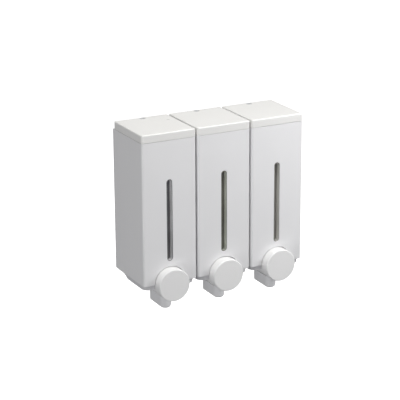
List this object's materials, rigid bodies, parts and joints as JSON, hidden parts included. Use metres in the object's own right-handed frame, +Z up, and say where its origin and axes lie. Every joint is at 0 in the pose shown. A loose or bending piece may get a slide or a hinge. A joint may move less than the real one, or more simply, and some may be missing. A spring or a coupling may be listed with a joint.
{
  "type": "wall mounted soap dispenser",
  "caption": "White wall mounted bank of upright box-shaped soap dispensers, each with a lift-off lid, a smoked sight slot, a round push button and a spout below it.",
  "frame": {"origin": "centre of the wall plate's back face, which is also the centre of its four screw holes", "axes": "+X to the viewer's right, +Y into the wall, +Z up"},
  "size_m": [0.216, 0.0912, 0.2225],
  "materials": {
    "housing_plastic": "gloss white moulded ABS",
    "lid_plastic": "gloss white moulded ABS",
    "button_plastic": "gloss white moulded ABS",
    "spout_plastic": "gloss white moulded ABS",
    "tray_plastic": "satin pale grey moulded ABS",
    "plate_plastic": "satin off-white moulded ABS",
    "lock_plastic": "satin grey plastic",
    "smoked_plastic": "gloss smoked acrylic",
    "clear_plastic": "natural translucent polypropylene",
    "pump_plastic": "satin natural acetal",
    "rubber": "black moulded rubber",
    "silicone": "translucent silicone",
    "spring_steel": "drawn stainless wire",
    "screw_steel": "zinc plated steel"
  },
  "bodies": {
    "frame": {"wall_plate": "plate_plastic", "tray_screws": "screw_steel", "pump_screws": "screw_steel", "left_housing": "housing_plastic", "left_window": "smoked_plastic", "left_reservoir": "clear_plastic", "left_outlet_seal": "rubber", "left_inlet_valve": "silicone", "left_pump_body": "pump_plastic", "left_return_spring": "spring_steel", "left_outlet_valve": "silicone", "left_spout": "spout_plastic", "left_base_tray": "tray_plastic", "middle_housing": "housing_plastic", "middle_window": "smoked_plastic", "middle_reservoir": "clear_plastic", "middle_outlet_seal": "rubber", "middle_inlet_valve": "silicone", "middle_pump_body": "pump_plastic", "middle_return_spring": "spring_steel", "middle_outlet_valve": "silicone", "middle_spout": "spout_plastic", "middle_base_tray": "tray_plastic", "right_housing": "housing_plastic", "right_window": "smoked_plastic", "right_reservoir": "clear_plastic", "right_outlet_seal": "rubber", "right_inlet_valve": "silicone", "right_pump_body": "pump_plastic", "right_return_spring": "spring_steel", "right_outlet_valve": "silicone", "right_spout": "spout_plastic", "right_base_tray": "tray_plastic"},
    "left_plunger": {"left_button": "button_plastic", "left_piston": "pump_plastic", "left_piston_seal": "rubber"},
    "left_cover": {"left_lid": "lid_plastic"},
    "left_latch": {"left_lock": "lock_plastic"},
    "middle_plunger": {"middle_button": "button_plastic", "middle_piston": "pump_plastic", "middle_piston_seal": "rubber"},
    "middle_cover": {"middle_lid": "lid_plastic"},
    "middle_latch": {"middle_lock": "lock_plastic"},
    "right_plunger": {"right_button": "button_plastic", "right_piston": "pump_plastic", "right_piston_seal": "rubber"},
    "right_cover": {"right_lid": "lid_plastic"},
    "right_latch": {"right_lock": "lock_plastic"}
  },
  "joints": [
    {"name": "left_push", "type": "slide", "parent": "frame", "child": "left_plunger", "axis": [0, 1, 0], "range_m": [0, 0.009], "stiffness_N_per_m": 450, "springref_m": -0.008, "deforming": ["left_return_spring"]},
    {"name": "left_lid_lift", "type": "slide", "parent": "frame", "child": "left_cover", "axis": [0, 0, 1], "range_m": [0, 0.03]},
    {"name": "left_lock_turn", "type": "hinge", "parent": "left_cover", "child": "left_latch", "pos_m": [-0.0728, -0.0086, 0.09815], "axis": [0, 0, 1], "range_deg": [0, 90]},
    {"name": "middle_push", "type": "slide", "parent": "frame", "child": "middle_plunger", "axis": [0, 1, 0], "range_m": [0, 0.009], "stiffness_N_per_m": 450, "springref_m": -0.008, "deforming": ["middle_return_spring"]},
    {"name": "middle_lid_lift", "type": "slide", "parent": "frame", "child": "middle_cover", "axis": [0, 0, 1], "range_m": [0, 0.03]},
    {"name": "middle_lock_turn", "type": "hinge", "parent": "middle_cover", "child": "middle_latch", "pos_m": [0, -0.0086, 0.09815], "axis": [0, 0, 1], "range_deg": [0, 90]},
    {"name": "right_push", "type": "slide", "parent": "frame", "child": "right_plunger", "axis": [0, 1, 0], "range_m": [0, 0.009], "stiffness_N_per_m": 450, "springref_m": -0.008, "deforming": ["right_return_spring"]},
    {"name": "right_lid_lift", "type": "slide", "parent": "frame", "child": "right_cover", "axis": [0, 0, 1], "range_m": [0, 0.03]},
    {"name": "right_lock_turn", "type": "hinge", "parent": "right_cover", "child": "right_latch", "pos_m": [0.0728, -0.0086, 0.09815], "axis": [0, 0, 1], "range_deg": [0, 90]}
  ]
}
